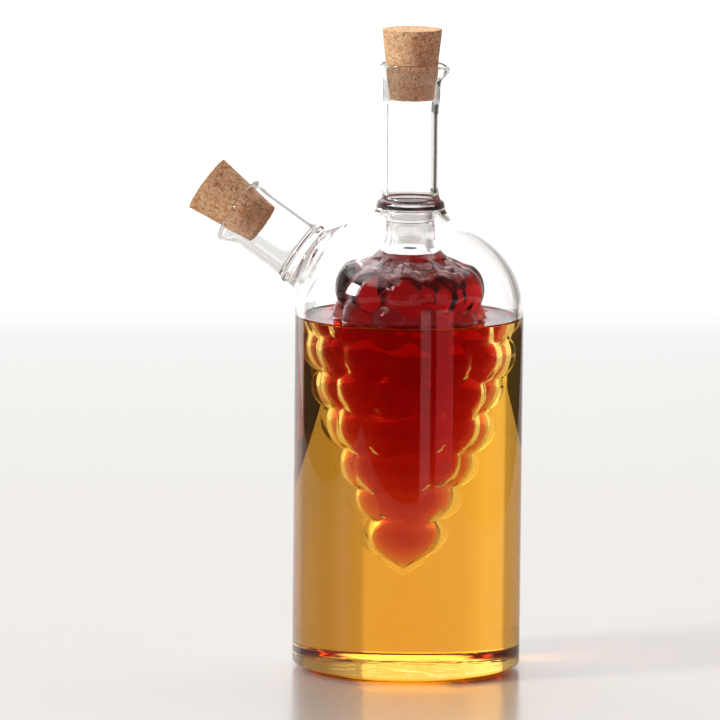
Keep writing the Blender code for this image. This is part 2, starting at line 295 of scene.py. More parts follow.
def spout_point(r, psi, s):
    r, psi, s = (np.asarray(x, float)[..., None] for x in np.broadcast_arrays(r, psi, s))
    return SPOUT_O + r * (np.cos(psi) * UP + np.sin(psi) * SIDE) + s * AX


def dome_distance(r, psi, a, b):
    """Distance along the spout's axis at which a line beside it leaves the body."""
    o = spout_point(r, psi, 0.0)
    x0, y0, z0 = o[..., 0], o[..., 1], o[..., 2] - DOME_Z
    ax, az = AX[0], AX[2]
    qa = ax * ax / a**2 + az * az / b**2
    qb = 2 * (x0 * ax / a**2 + z0 * az / b**2)
    qc = (x0**2 + y0**2) / a**2 + z0**2 / b**2 - 1
    s = (-qb + np.sqrt(np.maximum(qb**2 - 4 * qa * qc, 0))) / (2 * qa)
    below = z0 + s * az < 0
    qa2, qb2, qc2 = ax * ax, 2 * x0 * ax, x0**2 + y0**2 - a * a
    s2 = (-qb2 + np.sqrt(np.maximum(qb2**2 - 4 * qa2 * qc2, 0))) / (2 * qa2)
    return np.where(below, s2, s)


def bump(r, psi):
    """How far the glass around the spout is drawn out along the spout."""
    top = 0.5 + 0.5 * np.cos(psi)
    return (0.4 + 2.5 * top**2) * np.exp(-((r / 17.0) ** 4)) * 1.0


def drawn(p, a):
    """Points of the body's surface, drawn out along the spout near it."""
    r, psi, s = spout_polar(p)
    near = (s > 15.0) * smoothstep(p[:, 2], OIL_LINE, 123.0)
    return p + (bump(r, psi) * near)[:, None] * AX


def body_side(skin, profile, first, last, a, b, mats):
    """Rings of a turned profile with a rectangle left out for the spout.

    Returns the rings' vertex ids and the ids round the rectangle's edge.
    """
    half = 32  # segments each side of the spout's plane
    mid = BODY_SEG // 2
    cols = np.arange(mid - half, mid + half + 1)
    rings = []
    for i, (r, z) in enumerate(profile):
        if r < 1e-6:
            rings.append(skin.add([(0, 0, z)]))
            continue
        pts = revolve_ring(r, z, BODY_SEG)
        if z > 90.0:
            pts = drawn(pts, a)
        if a == DOME_A and z < HEEL_Z:
            pts = ripple(pts)
        if first < i < last:
            keep = np.ones(BODY_SEG, bool)
            keep[cols[1:-1]] = False
            ids = np.full(BODY_SEG, -1)
            ids[keep] = skin.add(pts[keep])
            rings.append(ids)
        else:
            rings.append(skin.add(pts))
    for i in range(len(profile) - 1):
        p, q, m = rings[i], rings[i + 1], mats[i]
        if len(p) == 1:
            skin.fan(q, p[0], m)
        elif len(q) == 1:
            skin.fan(p, q[0], m)
        elif first <= i < last:
            order = np.concatenate([np.arange(cols[-1], BODY_SEG), np.arange(0, cols[0] + 1)])
            skin.band(p[order], q[order], m, loop=False)
        else:
            skin.band(p, q, m)
    # the rectangle's edge, once round
    edge = list(rings[last][cols])
    edge += [rings[i][cols[-1]] for i in range(last - 1, first, -1)]
    edge += list(rings[first][cols[::-1]])
    edge += [rings[i][cols[0]] for i in range(first + 1, last)]
    return rings, np.array(edge)


def spout_side(skin, edge, a, b, waist_r, waist_s, fillet_r, mat, steps, share):
    """Quads from the rectangle's edge in to the spout's waist.

    Returns the waist's ring and the angles of its points.
    """
    allp = np.concatenate(skin.points)
    r_edge, psi, s_edge = spout_polar(allp[edge])
    prev = edge
    base_w = dome_distance(waist_r, psi, a, b) + bump(waist_r, psi) * share
    height = waist_s - base_w
    r2 = fillet_r(psi)
    outer = steps
    for k in range(1, outer + 1):
        t = (k / outer) ** 0.8
        r = r_edge * (1 - t) + r2 * t
        s = dome_distance(r, psi, a, b) + bump(r, psi) * share
        p = spout_point(r, psi, s)
        p -= ((1 - smoothstep(p[:, 2], OIL_LINE, 123.0)) * bump(r, psi) * share)[:, None] * AX
        ids = skin.add(p)
        skin.band(prev, ids, mat)
        prev = ids
    n = 18
    for k in range(1, n + 1):
        al = math.pi / 2 * (1 - k / n)  # 90 degrees at the body, 0 at the waist
        r = waist_r + (r2 - waist_r) * (1 - math.cos(al))
        s = dome_distance(r, psi, a, b) + bump(r, psi) * share + height * (1 - math.sin(al))
        ids = skin.add(spout_point(r, psi, s))
        skin.band(prev, ids, mat)
        prev = ids
    return prev, psi


def neck_pull(th, r, z):
    a = (th + np.pi) % (2 * np.pi) - np.pi
    w = np.exp(-((a / math.radians(24.0)) ** 2)) * smoothstep(z, 193.0, 198.4)
    return r + 2.0 * w, z - 1.0 * w


def neck_rings(skin, profile, prev, mat):
    for r, z in profile:
        ids = skin.add(revolve_ring(r, z, BODY_SEG, neck_pull))
        skin.band(prev, ids, mat)
        prev = ids
    return prev


def floor_profile():
    """Inside of the bottle's bottom, from the middle up into the wall."""
    prof = chain(
        line((0.0, FLOOR), (30.0, FLOOR), 20),
        spline([(30.0, FLOOR), (32.0, FLOOR + 0.05), (33.6, FLOOR + 0.45), (34.7, FLOOR + 1.4), (35.2, FLOOR + 3.0), (INNER_R, 8.0)], 6),
    )
    return prof


def ripple(p):
    """The moulded underside is faintly uneven; it stays above the table."""
    r = np.hypot(p[:, 0], p[:, 1])
    q = np.stack([p[:, 0], p[:, 1], np.zeros(len(p))], 1)
    n = hash_noise(q / 2.4 + 50, 5) + 0.5 * hash_noise(q / 1.2 + 80, 6)
    w = (1 - smoothstep(r, 32.5, 36.0)) * (0.2 + 0.8 * smoothstep(np.abs(r - FOOT_R + 1.0), 0.3, 2.0))
    out = p.copy()
    out[:, 2] += RIPPLE * n * w
    return out


def outer_glass():
    skin = Skin()
    # outside, from the middle of the underside up to the collar
    corner = arc(HEEL_C, HEEL_Z, HEEL_R, -75, 0, 16)
    under = chain(
        line((0.0, 0.08), (FOOT_R - 3.0, 0.02), 110),
        spline([(FOOT_R - 3.0, 0.02), (FOOT_R - 1.0, 0.0), (FOOT_R, 0.06), (FOOT_R + 1.0, 0.28), tuple(corner[0])], 12),
    )
    heel = corner
    wall1 = line((BODY_R, HEEL_Z), (BODY_R, OIL_LINE), 46)
    wall2 = line((BODY_R, OIL_LINE), (BODY_R, DOME_Z), 3)
    dome1 = ellipse(DOME_A, DOME_B, DOME_Z, 0, 56.5, 40)
    dome2 = ellipse(DOME_A, DOME_B, DOME_Z, 56.5, 62.5, 5)
    collar = spline(
        [dome2[-1], (15.3, 148.25), (13.7, 149.3), (12.5, 150.4), (11.7, 151.4), (11.35, 152.2), (11.3, 152.9),
         (11.2, 153.6), (10.95, 154.3), (10.55, 154.85), (10.0, 155.2), (9.6, 155.7), (9.45, 156.8)], 6)
    prof = chain(under, heel, wall1, wall2, dome1, dome2, collar)
    first = len(chain(under, heel, wall1)) - 1
    last = len(chain(under, heel, wall1, wall2, dome1)) - 1
    rings, edge = body_side(skin, prof, first, last, DOME_A, DOME_B, [0] * len(prof))
    neck = chain(
        line((9.43, 158.6), (9.43, 188.0), 14),
        spline([(9.43, 188.0), (9.5, 192.5), (9.75, 196.2), (10.3, 198.0), (10.5, 199.0), (10.25, 199.75),
                (9.75, 199.85), (9.35, 199.4), (9.08, 198.4), (8.8, 196.6), (8.5, 194.2), (8.1, 190.6),
                (7.78, 187.6), (7.66, 184.6)], 6),
        line((7.65, 182.0), (7.65, 157.6), 12),
        spline([(7.65, 157.6), (7.6, 156.2), (7.4, 155.1), (7.0, 153.6), (6.6, 151.6), (6.4, 149.4), (6.4, SPLIT_Z)], 5),
    )
    bore_end = neck_rings(skin, neck, rings[-1], 0)
    # inside of the bottle, from the floor up to the crotch round the stem
    floor = floor_profile()
    wet = line((INNER_R, 8.0), (INNER_R, OIL_LINE), 46)
    dry = line((INNER_R, OIL_LINE), (INNER_R, DOME_Z), 3)
    idome1 = ellipse(DOME_AI, DOME_BI, DOME_Z, 0, 56.0, 40)
    idome2 = ellipse(DOME_AI, DOME_BI, DOME_Z, 56.0, 62.0, 5)
    crotch = spline([idome2[-1], (14.6, 146.1), (12.4, 147.3), (10.9, 148.8), (10.1, 150.4), (9.7, 151.8), (9.3, 152.9), (8.8, 153.3), (8.3, 152.9), (8.05, 151.4), (8.0, SPLIT_Z)], 6)
    iprof = chain(floor, wet, dry, idome1, idome2, crotch)
    ifirst = len(chain(floor, wet)) - 1
    ilast = len(chain(floor, wet, dry, idome1)) - 1
    # the crotch's faces above 152.3 mm take the painted shade ring
    mats = [1 if z1 <= OIL_LINE + 1e-6 else 3 if min(z0, z1) > 152.3 else 0 for (_, z0), (_, z1) in zip(iprof, iprof[1:])]
    irings, iedge = body_side(skin, iprof, ifirst, ilast, DOME_AI, DOME_BI, mats)
    skin.band(bore_end, irings[-1], 2)  # the joint with the inner vessel's stem
    # the spout
    wr, ws = 10.55, 41.9
    outer_w, psi_o = spout_side(
        skin, edge, DOME_A, DOME_B, wr, ws, lambda p: 14.2 + 1.2 * np.cos(p), 0, 26, 1.0)
    wri, wsi = 8.6, 39.0
    inner_w, psi_i = spout_side(
        skin, iedge, DOME_AI, DOME_BI, wri, wsi, lambda p: 12.3 + 0.6 * np.cos(p), 0, 26, 0.9)
    # the two edges have the same number of points; the tube turns one ring of
    # angles into the other
    tube = chain(
        spline([(wr, ws), (10.75, 42.5), (11.15, 43.2), (11.1, 44.0), (10.55, 44.7), (10.2, 45.6), (10.1, 47.0)], 5),
        line((10.1, 47.0), (10.1, 61.0), 8),
        spline([(10.1, 61.0), (10.15, 64.5), (10.35, 67.2), (10.75, 68.6), (10.8, 69.5), (10.35, 70.1),
                (9.75, 70.05), (9.35, 69.4), (9.05, 68.2), (8.8, 66.4), (8.62, 63.5), (8.6, 61.0)], 5),
        line((8.6, 61.0), (8.6, 41.0), 12),
    )
    psi_o = np.unwrap(psi_o)
    psi_i = np.unwrap(psi_i)
    psi_i += 2 * np.pi * np.round((psi_o[0] - psi_i[0]) / (2 * np.pi))
    prev = outer_w
    for k, (r, s) in enumerate(tube[1:]):
        t = (k + 1) / len(tube)
        psi = psi_o * (1 - t) + psi_i * t
        d = (psi - np.pi + np.pi) % (2 * np.pi) - np.pi
        w = np.exp(-((d / math.radians(26.0)) ** 2)) * float(smoothstep(np.array(s), 62.6, 68.8))
        ids = skin.add(spout_point(r + 1.7 * w, psi, s - 0.6 * w))
        skin.band(prev, ids, 0)
        prev = ids
    skin.band(prev, inner_w, 0)
    return skin.build("outer_glass", [glass, oil_wet, fused, painted_shade_ring])


# -------------------------------------------------------------- inner vessel
def row_at(z, column):
    pts = sorted((row[0], row[column]) for row in ROWS)
    return float(np.interp(z, [p[0] for p in pts], [p[1] for p in pts]))


def berries(inside):
    """Angle and radius of every berry's centre, height, and three half axes."""
    column = 2 if inside else 1
    deep = 6.0 if inside else 6.5
    out = []
    for k, row in enumerate(ROWS):
        z, count, turn, wide, high = row[0], row[3], row[4], row[5], row[6]
        c = row[column] - min(deep, 0.62 * row[column])
        for i in range(count):
            a = TURN + math.radians(turn) + 2 * math.pi * i / count
            jig = math.sin(12.9898 * (k + 1) + 78.233 * (i + 1)) * 43758.5453
            jig -= math.floor(jig)
            tilt = -LEAN * c * math.cos(a - AZ)
            zz = z + tilt + (2.8 if k else 0.8) * (((jig * 7.0) % 1.0) - 0.5)
            a += math.radians(6.0 if k > 1 else 2.0) * (((jig * 13.0) % 1.0) - 0.5)
            size = 1.0 + (0.12 if k else 0.05) * (((jig * 29.0) % 1.0) - 0.5)
            out.append((a, c + 0.7 * (jig - 0.5), zz, row[column] - c, wide * size, high * size))
    # each berry of the top row runs up to the stem as a ridge
    z, count, turn = ROWS[0][0], ROWS[0][3], ROWS[0][4]
    less = 1.3 if inside else 0.0
    for c, dz, r in ((17.2, 1.6, 6.1), (16.2, 3.3, 5.3), (15.0, 4.9, 4.4), (14.0, 6.3, 3.5), (13.0, 7.6, 2.8)):
        for i in range(count):
            a = TURN + math.radians(turn) + 2 * math.pi * i / count
            r2 = max(0.3, r - less)
            out.append((a, c, z + dz, r2, r2 * 1.15, r2))
    return np.array(out)


def core_discs(inside):
    less = 1.3 if inside else 0.0
    crease = CREASE_IN if inside else CREASE
    column = 2 if inside else 1
    tip = TIP_IN if inside else TIP_Z
    discs = [(16.8, 125.7, 6.8 - less), (14.2, 128.3, 5.8 - less), (11.3, 130.9, 4.7 - less), (8.9, 133.3, 3.9 - less)]
    z = ROWS[0][0]
    while z > ROWS[-1][0]:
        r = row_at(z, column) - crease
        a = min(5.0, r)
        discs.append((r - a, z, a))
        z -= 0.5
    top = tip + (ROWS[-1][2 if inside else 1] - crease) / 0.74
    for i in range(40):
        t = i / 40
        z = top + (tip + 0.3 - top) * t
        discs.append((0.0, z, (z - tip) * 0.74))
    return np.array([(c, z, max(0.15, a)) for c, z, a in discs])


def cluster_reach(z0, elevation, angles, inside, sharp):
    """Distance from (0, 0, z0) to the cluster's surface along each angle."""
    ce, se = math.cos(elevation), math.sin(elevation)
    b = berries(inside)
    turn, c0, zb, ar, at, av = b.T
    off = angles[:, None] - turn[None, :]
    along, across = ce * np.cos(off), ce * np.sin(off)
    qa = (along / ar) ** 2 + (across / at) ** 2 + (se / av) ** 2
    qb = -c0 * along / ar**2 + (z0 - zb) * se / av**2
    qc = (c0 / ar) ** 2 + ((z0 - zb) / av) ** 2 - 1
    disc = qb**2 - qa * qc
    hits = np.where(disc > 0, (-qb + np.sqrt(np.maximum(disc, 0))) / qa, -1e3)
    c = core_discs(inside)
    al = c[:, 0] * ce + (c[:, 1] - z0) * se
    dd = c[:, 2] ** 2 - (c[:, 0] ** 2 + (c[:, 1] - z0) ** 2) + al**2
    core = np.where(dd > 0, al + np.sqrt(np.maximum(dd, 0)), -1e3).max()
    every = np.concatenate([hits, np.full((len(angles), 1), core)], 1)
    top = every.max(1, keepdims=True)
    return (top + np.log(np.exp(sharp * (every - top)).sum(1, keepdims=True)) / sharp)[:, 0]


CLUSTER_SEG = 384


def hang(pts):
    """The lower part of the cluster hangs a little to one side."""
    t = np.clip((110.0 - pts[:, 2]) / 76.0, 0, 1.1)
    return pts + (DRIFT * t * t)[:, None] * np.array([math.cos(AZ), math.sin(AZ), 0.0])


def cluster_rings(inside, sharp, marks=()):
    """Rings of the cluster from its shoulder down, with one at each mark's height."""
    angles = 2 * np.pi * np.arange(CLUSTER_SEG) / CLUSTER_SEG
    top, bottom = ROWS[0][0], ROWS[-1][0]
    rim = 36.5 if inside else 38.0
    rays = [(top, math.radians(e)) for e in np.linspace(rim, 0, 40, endpoint=False)]
    zs = sorted(set(np.round(np.linspace(top, bottom, 260), 4)) | set(marks), reverse=True)
    rays += [(z, 0.0) for z in zs]
    rays += [(bottom, math.radians(-e)) for e in np.linspace(3, 88.5, 48)]
    rings = []
    for z0, e in rays:
        t = cluster_reach(z0, e, angles, inside, sharp)
        ring = np.stack([t * math.cos(e) * np.cos(angles), t * math.cos(e) * np.sin(angles), z0 + t * math.sin(e)], 1)
        rings.append(hang(ring))
    pole = float(cluster_reach(bottom, math.radians(-90.0), angles[:1], inside, sharp)[0])
    rings.append(hang(np.array([[0.0, 0.0, bottom - pole]])))
    return rings


STEM = [(8.0, SPLIT_Z - SKIN), (8.1, 145.2), (8.15, 143.6), (8.35, 142.0), (8.9, 140.3), (9.8, 138.9), (10.95, 137.6), (12.2, 136.5)]
STEM_IN = [(6.4, SPLIT_Z - SKIN), (6.1, 145.2), (5.9, 143.4), (5.9, 141.8), (6.15, 140.2), (6.7, 138.8), (7.9, 137.5), (9.4, 136.3)]


def stem_rings(points, ring, marks=()):
    """Rings from the stem's top down to the cluster's first ring."""
    r1, z1 = float(np.hypot(ring[:, 0], ring[:, 1]).mean()), float(ring[:, 2].mean())
    prof = spline([*points, (r1, z1)], 8)[:-1]
    for m in marks:  # a ring exactly at the mark's height
        i = int(np.argmin(np.abs(prof[:, 1] - m)))
        prof[i] = (np.interp(m, prof[::-1, 1], prof[::-1, 0]), m)
    blend = [float(smoothstep(np.array(z), points[-1][1] + 0.3, z1)) for _, z in prof]
    angles = 2 * np.pi * np.arange(CLUSTER_SEG) / CLUSTER_SEG
    lobes = np.hypot(ring[:, 0], ring[:, 1]) - r1, ring[:, 2] - z1
    return [
        np.stack([(r + w * lobes[0]) * np.cos(angles), (r + w * lobes[0]) * np.sin(angles), z + w * lobes[1]], 1)
        for (r, z), w in zip(prof, blend)
    ]


def inner_vessel():
    skin = Skin()
    out = cluster_rings(False, 2.5, (OIL_LINE_VESSEL,))
    ins = cluster_rings(True, 1.4)
    outer = stem_rings(STEM, out[0]) + out
    inner = stem_rings(STEM_IN, ins[0], (VIN_LINE,)) + ins
    ids_o = [skin.add(r) for r in outer]
    ids_i = [skin.add(r) for r in inner]
    for k, (p, q) in enumerate(zip(ids_o, ids_o[1:])):
        wet = outer[k + 1][:, 2].max() <= OIL_LINE_VESSEL + 1e-6 and outer[k][:, 2].max() <= OIL_LINE_VESSEL + 1e-6
        m = 1 if wet else 0
        skin.fan(p, q[0], m) if len(q) == 1 else skin.band(p, q, m)
    for k, (p, q) in enumerate(zip(ids_i, ids_i[1:])):
        wet = inner[k][:, 2].max() <= VIN_LINE + 1e-6
        m = 2 if wet else 0
        skin.fan(p, q[0], m) if len(q) == 1 else skin.band(p, q, m)
    skin.band(ids_o[0], ids_i[0], 3)
    ob = skin.build("inner_vessel", [vessel_glass, vessel_in_oil, vin_wet, fused])
    return ob, outer, inner


# ------------------------------------------------------------------- liquids
def grow(rings, by):
    """Rings moved along their own outward normals."""
    out = []
    n = len(rings)
    for k, ring in enumerate(rings):
        if len(ring) == 1:
            out.append(ring + [[0, 0, -by]])
            continue
        around = np.roll(ring, -1, 0) - np.roll(ring, 1, 0)
        a = rings[k - 1] if k else ring
        b = rings[k + 1] if k + 1 < n else ring
        down = (b if len(b) > 1 else np.repeat(b, len(ring), 0)) - a
        nor = np.cross(down, around)
        nor /= np.linalg.norm(nor, axis=1, keepdims=True)
        flip = np.sign((nor[:, :2] * ring[:, :2]).sum(1).mean()) or 1.0
        out.append(ring + nor * flip * by)
    return out


def oil(vessel_outer):
    skin = Skin()
    r_out = INNER_R - SKIN
    floor = floor_profile() - [SKIN, 0] + [0, SKIN]
    floor[0, 0] = 0.0
    side = chain(floor, line((r_out, 8.0 + SKIN), (r_out, OIL_LINE), 40))
    ids = []
    for r, z in side:
        ids.append(skin.add([(0, 0, z)]) if r < 1e-6 else skin.add(revolve_ring(r, z, CLUSTER_SEG)))
    for p, q in zip(ids, ids[1:]):
        skin.fan(q, p[0], 0) if len(p) == 1 else skin.band(p, q, 0)
    k0 = next(k for k, r in enumerate(vessel_outer) if abs(r[:, 2].max() - OIL_LINE_VESSEL) < 1e-4 and abs(r[:, 2].min() - OIL_LINE_VESSEL) < 1e-4)
    near = grow(vessel_outer, SKIN)[k0:]
    near[0][:, 2] = OIL_LINE_VESSEL
    inner_ids = [skin.add(r) for r in near]
    for p, q in zip(inner_ids, inner_ids[1:]):
        skin.fan(p, q[0], 0) if len(q) == 1 else skin.band(p, q, 0)
    # the free surface rises a little where it meets the glass
    ang = 2 * np.pi * np.arange(CLUSTER_SEG) / CLUSTER_SEG
    r_in = np.hypot(near[0][:, 0], near[0][:, 1])
    prev = ids[-1]
    n = 60
    for k in range(1, n):
        t = k / n
        t = 0.5 - 0.5 * math.cos(math.pi * t)
        r = r_out * (1 - t) + r_in * t
        z = OIL_FLAT + (OIL_LINE - OIL_FLAT) * np.exp(-(r_out - r) / 1.1) + (OIL_LINE_VESSEL - OIL_FLAT) * np.exp(-(r - r_in) / 0.8)
        cur = skin.add(np.stack([r * np.cos(ang), r * np.sin(ang), z], 1))
        skin.band(prev, cur, 1)
        prev = cur
    skin.band(prev, inner_ids[0], 1)
    return skin.build("oil", [oil_side, oil_top])


def vinegar(vessel_inner):
    skin = Skin()
    k0 = next(k for k, r in enumerate(vessel_inner) if abs(r[:, 2].max() - VIN_LINE) < 1e-4)
    near = grow(vessel_inner, -SKIN)[k0:]
    near[0][:, 2] = VIN_LINE
    ids = [skin.add(r) for r in near]
    for p, q in zip(ids, ids[1:]):
        skin.fan(p, q[0], 0) if len(q) == 1 else skin.band(p, q, 0)
    ang = 2 * np.pi * np.arange(CLUSTER_SEG) / CLUSTER_SEG
    r_out = float(np.hypot(near[0][:, 0], near[0][:, 1]).mean())
    prev = ids[0]
    n = 30
    for k in range(1, n):
        r = r_out * math.cos(math.pi / 2 * k / n)
        z = VIN_FLAT + (VIN_LINE - VIN_FLAT) * math.exp(-(r_out - r) / 1.0)
        cur = skin.add(np.stack([r * np.cos(ang), r * np.sin(ang), np.full(CLUSTER_SEG, z)], 1))
        skin.band(prev, cur, 1)
        prev = cur
    pole = skin.add([(0, 0, VIN_FLAT)])
    skin.fan(prev, pole[0], 1)
    return skin.build("vinegar", [vin_side, vin_top])


# --------------------------------------------------------------------- corks
def cork_material(name, light, dark):
    mat, nt, out = new_material(name)
    n = nt.nodes
    coord = n.new("ShaderNodeTexCoord")
    p = n.new("ShaderNodeBsdfPrincipled")
    p.inputs["Roughness"].default_value = 0.85
    p.inputs["Specular IOR Level"].default_value = 0.25
    warp = n.new("ShaderNodeTexNoise")
    warp.inputs["Scale"].default_value = 700.0
    warp.inputs["Detail"].default_value = 2.0
    add = n.new("ShaderNodeMixRGB")
    add.blend_type = "LINEAR_LIGHT"
    add.inputs[0].default_value = 0.0009
    nt.links.new(coord.outputs["Object"], warp.inputs["Vector"])
    nt.links.new(coord.outputs["Object"], add.inputs[1])
    nt.links.new(warp.outputs["Color"], add.inputs[2])
    cells = n.new("ShaderNodeTexVoronoi")
    cells.inputs["Scale"].default_value = 900.0
    nt.links.new(add.outputs[0], cells.inputs["Vector"])
    ramp = n.new("ShaderNodeValToRGB")
    ramp.color_ramp.elements[0].position = 0.0
    ramp.color_ramp.elements[0].color = (*dark, 1)
    ramp.color_ramp.elements[1].position = 1.0
    ramp.color_ramp.elements[1].color = (*light, 1)
    e = ramp.color_ramp.elements.new(0.35)
    e.color = tuple(d * 0.45 + l * 0.55 for d, l in zip(dark, light)) + (1,)
    sep = n.new("ShaderNodeSeparateColor")
    nt.links.new(cells.outputs["Color"], sep.inputs[0])
    nt.links.new(sep.outputs[0], ramp.inputs[0])
    # dark seams between the granules and dark specks
    edge = n.new("ShaderNodeTexVoronoi")
    edge.feature = "DISTANCE_TO_EDGE"
    edge.inputs["Scale"].default_value = 900.0
    nt.links.new(add.outputs[0], edge.inputs["Vector"])
    er = n.new("ShaderNodeMapRange")
    er.inputs["From Min"].default_value = 0.0
    er.inputs["From Max"].default_value = 0.10
    er.inputs["To Min"].default_value = 0.62
    er.inputs["To Max"].default_value = 1.0
    nt.links.new(edge.outputs["Distance"], er.inputs["Value"])
    spots = n.new("ShaderNodeTexNoise")
    spots.inputs["Scale"].default_value = 900.0
    spots.inputs["Detail"].default_value = 3.0
    nt.links.new(coord.outputs["Object"], spots.inputs["Vector"])
    sr = n.new("ShaderNodeMapRange")
    sr.inputs["From Min"].default_value = 0.31
    sr.inputs["From Max"].default_value = 0.41
    sr.inputs["To Min"].default_value = 0.34
    sr.inputs["To Max"].default_value = 1.0
    nt.links.new(spots.outputs["Fac"], sr.inputs["Value"])
    mul = n.new("ShaderNodeMath")
    mul.operation = "MULTIPLY"
    nt.links.new(er.outputs[0], mul.inputs[0])
    nt.links.new(sr.outputs[0], mul.inputs[1])
    mix = n.new("ShaderNodeMixRGB")
    mix.blend_type = "MULTIPLY"
    mix.inputs[0].default_value = 1.0
    nt.links.new(ramp.outputs[0], mix.inputs[1])
    nt.links.new(mul.outputs[0], mix.inputs[2])
    nt.links.new(mix.outputs[0], p.inputs["Base Color"])
    nt.links.new(p.outputs[0], out.inputs["Surface"])
    return mat


def hash_noise(p, seed):
    """Smooth value noise at points p, in cells of size 1."""
    i = np.floor(p).astype(np.int64)
    f = p - i
    u = f * f * (3 - 2 * f)

    def h(dx, dy, dz):
        n = (i[..., 0] + dx) * 374761393 + (i[..., 1] + dy) * 668265263 + (i[..., 2] + dz) * 2147483647 + seed * 974634777
        n = (n ^ (n >> 13)) * 1274126177
        n = n ^ (n >> 16)
        return (n & 0xFFFF) / 65535.0

    def mixed(a, b, t):
        return a + (b - a) * t

    x0 = mixed(h(0, 0, 0), h(1, 0, 0), u[..., 0])
    x1 = mixed(h(0, 1, 0), h(1, 1, 0), u[..., 0])
    x2 = mixed(h(0, 0, 1), h(1, 0, 1), u[..., 0])
    x3 = mixed(h(0, 1, 1), h(1, 1, 1), u[..., 0])
    return mixed(mixed(x0, x1, u[..., 1]), mixed(x2, x3, u[..., 1]), u[..., 2])


def cork(name, r0, r1, length, base, axis_matrix, mat, seed):
    """A tapered cork with a pitted surface."""
    seg = 220
    prof = chain(
        line((0.0, 0.0), (r0 - 0.45, 0.0), 26),
        arc(r0 - 0.45, 0.45, 0.45, -90, 0, 4),
        line((r0 + 0.02, 0.6), (r1 - 0.02, length - 0.6), 84),
        arc(r1 - 0.45, length - 0.45, 0.45, 0, 90, 4),
        line((r1 - 0.45, length), (0.0, length), 30),
    )
    skin = Skin()
    ids = []
    d = np.gradient(prof, axis=0)
    nrm = np.stack([d[:, 1], -d[:, 0]], 1)
    nrm /= np.maximum(np.linalg.norm(nrm, axis=1, keepdims=True), 1e-9)
    th = 2 * np.pi * np.arange(seg) / seg
    for (r, z), (nr, nz) in zip(prof, nrm):
        if r < 1e-6:
            ids.append(skin.add([(0, 0, z)]))
            continue
        pts = np.stack([r * np.cos(th), r * np.sin(th), np.full(seg, z)], 1)
        out = np.stack([nr * np.cos(th), nr * np.sin(th), np.full(seg, nz)], 1)
        fine = hash_noise(pts * 1.7 + 40, seed) - 0.5
        finer = hash_noise(pts * 3.6 + 90, seed + 1) - 0.5
        pit = np.clip(hash_noise(pts * 1.1 + 13, seed + 2) - 0.80, 0, 1) / 0.2
        depth = 0.14 * fine + 0.08 * finer - 0.55 * pit - 0.11
        depth *= 1.0 if r > 1.0 else r
        ids.append(skin.add(pts + out * depth[:, None]))
    for p, q in zip(ids, ids[1:]):
        if len(p) == 1:
            skin.fan(q, p[0], 0)
        elif len(q) == 1:
            skin.fan(p, q[0], 0)
        else:
            skin.band(p, q, 0)
    ob = skin.build(name, [mat])
    ob.data.transform(axis_matrix @ Matrix.Translation((0, 0, base * MM)))
    return ob


# --------------------------------------------------------------------- build
bottle = outer_glass()
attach(bottle, "bottle")
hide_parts("body_tube", "base_disc", "bottle_shoulder", "neck_weld_collar", "neck_tube", "spout_weld_ring", "side_spout_tube")

vessel, vessel_out, vessel_in = inner_vessel()
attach(vessel, "bottle")
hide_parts("vessel_stem", "grape_vessel")

oil_ob = oil(vessel_out)
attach(oil_ob, "bottle")
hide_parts("oil_fill")

vin_ob = vinegar(vessel_in)
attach(vin_ob, "bottle")
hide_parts("vinegar_fill")

cork_mat = cork_material("cork", (1.0, 0.69, 0.40), (0.80, 0.37, 0.17))
spout_m = Matrix((UP, SIDE, AX)).transposed().to_4x4()
spout_m.translation = (0.0, 0.0, SPOUT_Z * MM)
top_cork = cork("cork_in_neck", 7.5, 9.9, 23.4, 187.9, Matrix.Identity(4), cork_mat, 3)
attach(top_cork, "top_stopper")
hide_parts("top_cork")
side_cork = cork("cork_in_spout", 6.98, 9.83, 23.4, 59.6, spout_m, cork_mat, 11)
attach(side_cork, "side_stopper")
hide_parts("side_cork")

# --------------------------------------------------------------------- stage
RIGHT = np.array([math.cos(AZ), math.sin(AZ), 0.0])
AHEAD = np.array([-math.sin(AZ), math.cos(AZ), 0.0])


